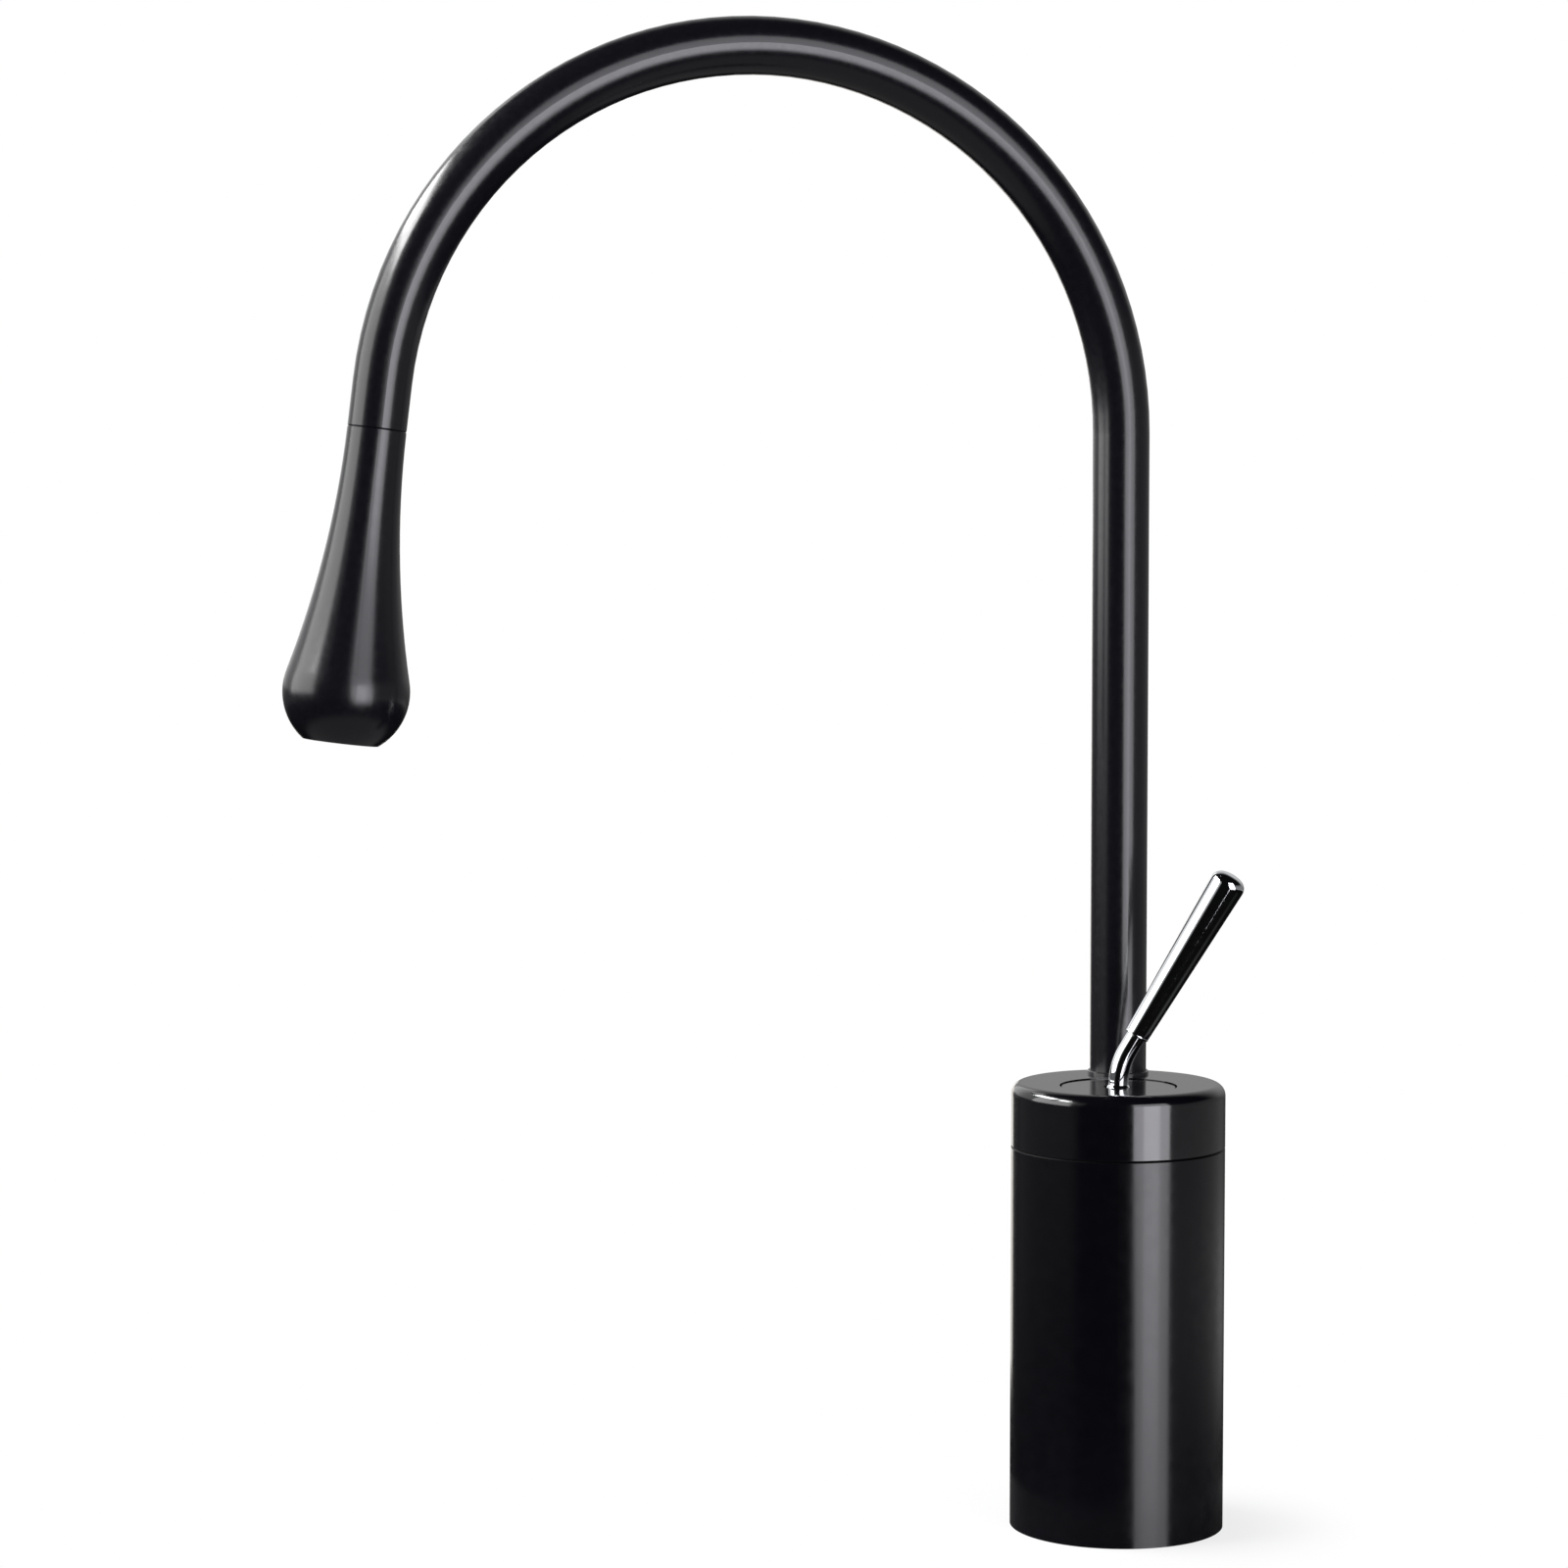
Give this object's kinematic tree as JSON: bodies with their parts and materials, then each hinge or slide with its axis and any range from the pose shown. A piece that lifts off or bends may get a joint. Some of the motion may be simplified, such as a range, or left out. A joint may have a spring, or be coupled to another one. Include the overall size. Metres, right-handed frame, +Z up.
{
  "type": "basin mixer faucet",
  "caption": "Tall black basin mixer: round body, swivelling gooseneck spout with a drop-shaped nozzle, and a slim chrome joystick lever beside it.",
  "frame": {"origin": "centre of the body's underside, on the deck", "axes": "+Z up; -Y towards the basin and the user; the lever is on +X and the spout stands behind it on -X. At rest the spout is swivelled 19 degrees from -Y towards +X."},
  "size_m": [0.1008, 0.2602, 0.4207],
  "materials": {
    "gloss_black": "deep black plating on brass, polished to a soft gloss",
    "satin_black": "satin black coating on brass tube",
    "chrome": "mirror chrome plating",
    "brass": "bare cast and machined brass",
    "stainless": "plain stainless steel",
    "rubber": "black nitrile rubber",
    "white_plastic": "moulded engineering plastic",
    "grey_plastic": "moulded grey plastic",
    "black_plastic": "polished black bearing plastic",
    "ceramic_disc": "lapped alumina ceramic"
  },
  "bodies": {
    "body": {"body_shell": "gloss_black", "top_cap": "gloss_black", "mixer_core": "brass", "base_gasket": "rubber", "shell_grip_ring": "rubber", "cap_grip_ring": "rubber", "cartridge_housing": "white_plastic", "cartridge_base": "white_plastic", "port_seals": "rubber", "fixed_ceramic_disc": "ceramic_disc", "cartridge_nut": "brass", "retaining_clip": "stainless", "slide_washer": "white_plastic", "spout_bush": "black_plastic"},
    "lever_head": {"lever_rotor": "white_plastic", "lever_plate": "gloss_black", "plate_screws": "stainless", "pivot_pin": "stainless"},
    "lever": {"lever_spindle": "chrome", "lever_neck": "chrome", "lever_handle": "chrome"},
    "disc_slider": {"moving_ceramic_disc": "ceramic_disc", "disc_carrier": "white_plastic"},
    "spout": {"spout_pipe": "satin_black", "spout_shank": "brass", "lower_shank_o_ring": "rubber", "upper_shank_o_ring": "rubber", "drop_nozzle": "satin_black", "aerator_cage": "chrome", "aerator_insert": "white_plastic", "aerator_screen": "grey_plastic", "aerator_washer": "rubber"}
  },
  "joints": [
    {"name": "spout_swivel", "type": "hinge", "parent": "body", "child": "spout", "pos_m": [-0.019, 0, 0.1174], "axis": [0, 0, 1], "continuous": true},
    {"name": "lever_turn", "type": "hinge", "parent": "body", "child": "lever_head", "pos_m": [0.007, 0, 0.1234], "axis": [0, 0, 1], "range_deg": [-45, 45]},
    {"name": "lever_tilt", "type": "hinge", "parent": "lever_head", "child": "lever", "pos_m": [0.007, 0, 0.1234], "axis": [1, 0, 0], "range_deg": [0, 25]},
    {"name": "disc_slide", "type": "slide", "parent": "lever_head", "child": "disc_slider", "axis": [0, 1, 0], "range_m": [0, 0.00441]}
  ],
  "couplings": [
    {"joint": "disc_slide", "follows": "lever_tilt", "m_per_rad": 0.010084}
  ]
}
